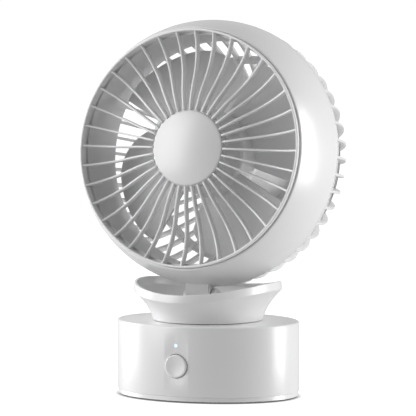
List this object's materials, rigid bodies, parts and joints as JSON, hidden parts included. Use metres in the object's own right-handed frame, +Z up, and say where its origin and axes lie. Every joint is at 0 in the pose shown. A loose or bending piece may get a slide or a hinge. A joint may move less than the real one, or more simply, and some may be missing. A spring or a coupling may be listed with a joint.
{
  "type": "desk fan",
  "caption": "Small desk fan: ball-shaped head with a ribbed front grille and a finned rear cage, tilting on a flared swinging neck over an oval base with a push button.",
  "frame": {"origin": "on the surface the fan stands on, under the axis that the neck swings about", "axes": "+Z up, the fan faces -Y at rest, X across it"},
  "size_m": [0.16, 0.13, 0.2246],
  "materials": {
    "white_shell": "satin",
    "white_gloss": "gloss",
    "foot_rubber": "matt",
    "screw_steel": "zinc plated",
    "plate_steel": "pressed sheet",
    "board_green": "solder mask",
    "black_plastic": "moulded",
    "cell_sleeve": "shrink sleeve",
    "lens_clear": "clear",
    "inlet_steel": "plated",
    "gear_plastic": "natural acetal",
    "motor_iron": "lacquered laminations"
  },
  "bodies": {
    "base": {"base_housing": "white_shell", "base_plate": "white_shell", "rubber_foot": "foot_rubber", "base_screws": "screw_steel", "ballast_plate": "plate_steel", "battery_cell": "cell_sleeve", "battery_tray": "black_plastic", "control_board": "board_green", "button_switch": "black_plastic", "indicator_lens": "lens_clear", "inlet_board": "board_green", "charging_socket": "inlet_steel", "swing_motor": "plate_steel", "motor_screws": "screw_steel", "neck_bush": "gear_plastic"},
    "button": {"power_button": "white_gloss"},
    "pinion": {"drive_pinion": "gear_plastic"},
    "neck": {"neck_shell": "white_shell", "neck_dish": "white_shell", "dish_screws": "screw_steel", "neck_spindle": "gear_plastic", "retaining_clip": "screw_steel", "swing_gear": "gear_plastic", "tilt_yoke": "plate_steel", "neck_screws": "screw_steel", "tilt_pin": "screw_steel", "friction_washers": "foot_rubber"},
    "head": {"front_shell": "white_shell", "duct_ring": "white_shell", "front_grille": "white_shell", "front_cap": "white_gloss", "rear_cover": "white_shell", "head_screws": "screw_steel", "motor_mount": "white_shell", "mount_screws": "screw_steel", "motor_stator": "motor_iron", "motor_bearings": "screw_steel", "motor_board": "board_green", "tilt_lug": "white_shell", "lug_screws": "screw_steel"},
    "rotor": {"impeller": "white_gloss", "rotor_cup": "plate_steel", "rotor_magnet": "motor_iron", "motor_shaft": "screw_steel", "shaft_nut": "screw_steel"}
  },
  "joints": [
    {"name": "neck_swing", "type": "hinge", "parent": "base", "child": "neck", "pos_m": [0, 0, 0.0523], "axis": [0, 0, 1], "range_deg": [-40, 40]},
    {"name": "pinion_spin", "type": "hinge", "parent": "base", "child": "pinion", "pos_m": [0.02819, -0.01026, 0.0357], "axis": [0, 0, 1], "range_deg": [-112, 112]},
    {"name": "head_tilt", "type": "hinge", "parent": "neck", "child": "head", "pos_m": [0, -0.008, 0.0583], "axis": [-1, 0, 0], "range_deg": [-15, 8]},
    {"name": "fan_spin", "type": "hinge", "parent": "head", "child": "rotor", "pos_m": [0, 0.007, 0.14461], "axis": [0, -0.9903, 0.1392], "continuous": true},
    {"name": "button_press", "type": "slide", "parent": "base", "child": "button", "axis": [0, 1, 0], "range_m": [0, 0.001], "stiffness_N_per_m": 300, "springref_m": -0.0005}
  ],
  "couplings": [
    {"joint": "pinion_spin", "follows": "neck_swing", "ratio": -2.75}
  ]
}
